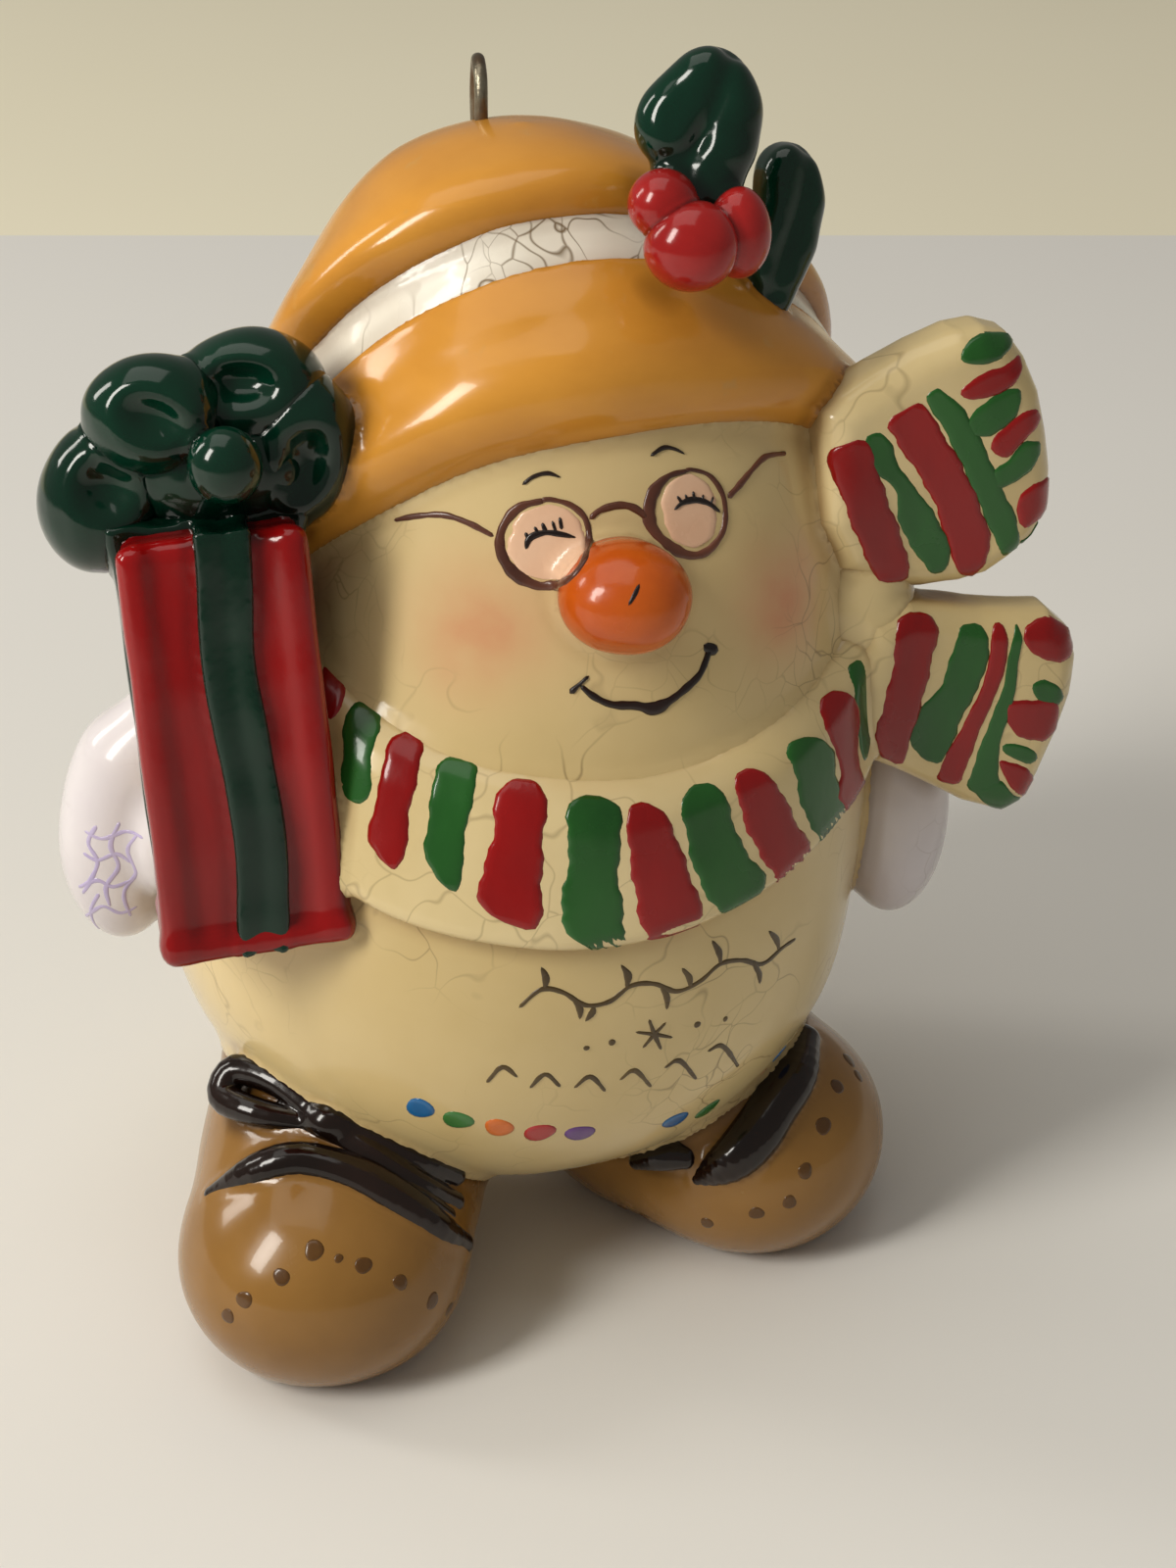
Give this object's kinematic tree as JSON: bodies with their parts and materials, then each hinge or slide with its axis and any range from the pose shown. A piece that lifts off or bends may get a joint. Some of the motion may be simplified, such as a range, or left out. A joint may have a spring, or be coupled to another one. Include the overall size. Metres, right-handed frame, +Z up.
{
  "type": "hanging ceramic figure ornament",
  "caption": "Small hand-painted ceramic hanging ornament: a round bespectacled figure in a hat and striped scarf, holding a tied gift, with lace-up shoes and a wire hanger.",
  "frame": {"origin": "middle of the bounding box in plan, on the plane the shoe soles stand on", "axes": "+Z up through the figure; the belly and toes face -Y; +X is the figure's own left"},
  "size_m": [0.059, 0.0452, 0.0757],
  "materials": {
    "cream_glaze": "glossy painted ceramic, pale cream, fine crazing",
    "ochre_glaze": "glossy painted ceramic, ochre yellow",
    "white_glaze": "glossy off-white paint, cracked",
    "orange_glaze": "glossy orange paint",
    "red_glaze": "glossy deep red paint",
    "green_glaze": "glossy deep green paint",
    "berry_glaze": "glossy berry red paint",
    "grey_white_glaze": "glossy pale grey-white paint with faint violet strokes",
    "brown_glaze": "glossy tan brown paint",
    "dark_lace_glaze": "glossy near-black brown paint",
    "wire_steel": "plain steel wire, slightly tarnished"
  },
  "bodies": {
    "root": {"body_shell": "cream_glaze", "nose": "orange_glaze", "hat_brim": "ochre_glaze", "hat_band": "white_glaze", "hat_crown": "ochre_glaze", "scarf_wrap": "cream_glaze", "scarf_knot": "cream_glaze", "scarf_tail_upper": "cream_glaze", "scarf_tail_lower": "cream_glaze", "right_mitten": "grey_white_glaze", "left_mitten": "grey_white_glaze", "gift_box": "red_glaze", "gift_ribbon": "green_glaze", "gift_bow_knot": "green_glaze", "bow_loop_outer": "green_glaze", "bow_loop_top": "green_glaze", "bow_loop_inner": "green_glaze", "right_shoe": "brown_glaze", "left_shoe": "brown_glaze", "right_lace_strap": "dark_lace_glaze", "right_lace_bow": "dark_lace_glaze", "left_lace_strap": "dark_lace_glaze", "left_lace_end": "dark_lace_glaze", "holly_leaf_front": "green_glaze", "holly_leaf_rear": "green_glaze", "berry_front": "berry_glaze", "berry_side": "berry_glaze", "berry_upper": "berry_glaze", "wire_hanger": "wire_steel"}
  },
  "joints": []
}
